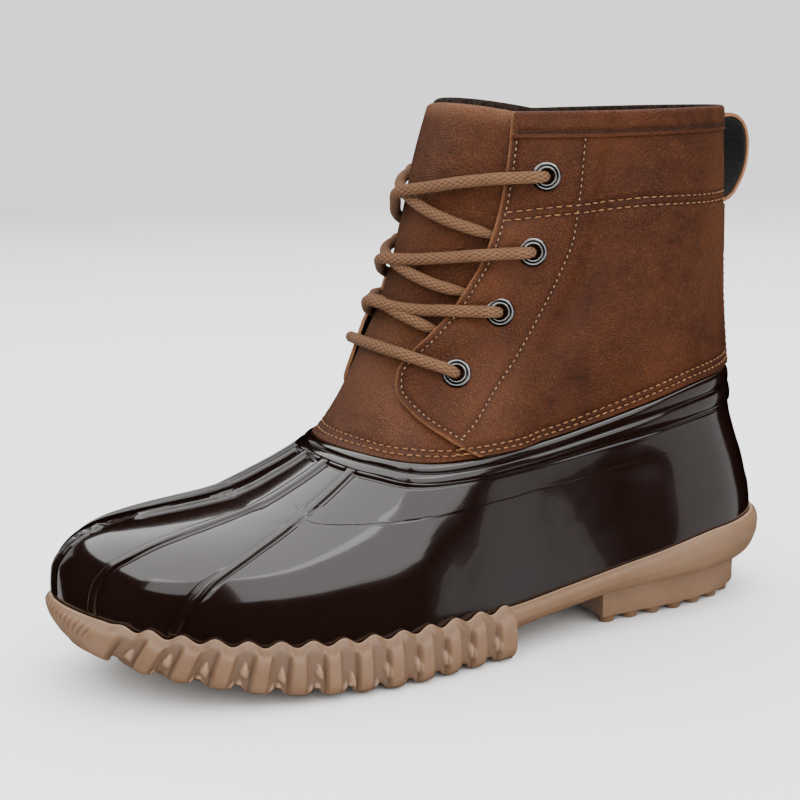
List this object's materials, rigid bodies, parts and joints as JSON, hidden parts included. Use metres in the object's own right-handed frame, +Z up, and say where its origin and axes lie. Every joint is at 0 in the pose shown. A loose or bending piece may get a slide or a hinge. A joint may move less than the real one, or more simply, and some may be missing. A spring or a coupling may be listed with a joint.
{
  "type": "duck boot",
  "caption": "Left duck boot: glossy rubber shell on a lugged gum sole, with a laced leather shaft, metal eyelets and a pull loop. It stands empty and open at the collar.",
  "frame": {"origin": "middle of the bounding box at the floor, under the arch of the foot", "axes": "+Z up; +Y from toe to heel, so the toe points to -Y; +X to the outer (little toe) side of a left boot"},
  "size_m": [0.114, 0.2956, 0.2048],
  "materials": {
    "gum_rubber": "matte tan rubber, slightly translucent at its thin lip",
    "shell_rubber": "glossy dark brown moulded rubber",
    "brown_leather": "waxy brown leather with raw tan edges",
    "lace_cord": "round braided brown cord",
    "gunmetal": "dark smooth gunmetal",
    "insole_felt": "dark brown felt"
  },
  "bodies": {
    "root": {"outsole": "gum_rubber", "insole": "insole_felt", "shell": "shell_rubber", "shaft": "brown_leather", "tongue": "brown_leather", "eyelet_inner_1": "gunmetal", "eyelet_inner_2": "gunmetal", "eyelet_inner_3": "gunmetal", "eyelet_inner_4": "gunmetal", "eyelet_outer_1": "gunmetal", "eyelet_outer_2": "gunmetal", "eyelet_outer_3": "gunmetal", "eyelet_outer_4": "gunmetal", "lace_bar": "lace_cord", "lace_crossing_1": "lace_cord", "lace_crossing_2": "lace_cord", "lace_crossing_3": "lace_cord", "pull_loop": "brown_leather"}
  },
  "joints": []
}
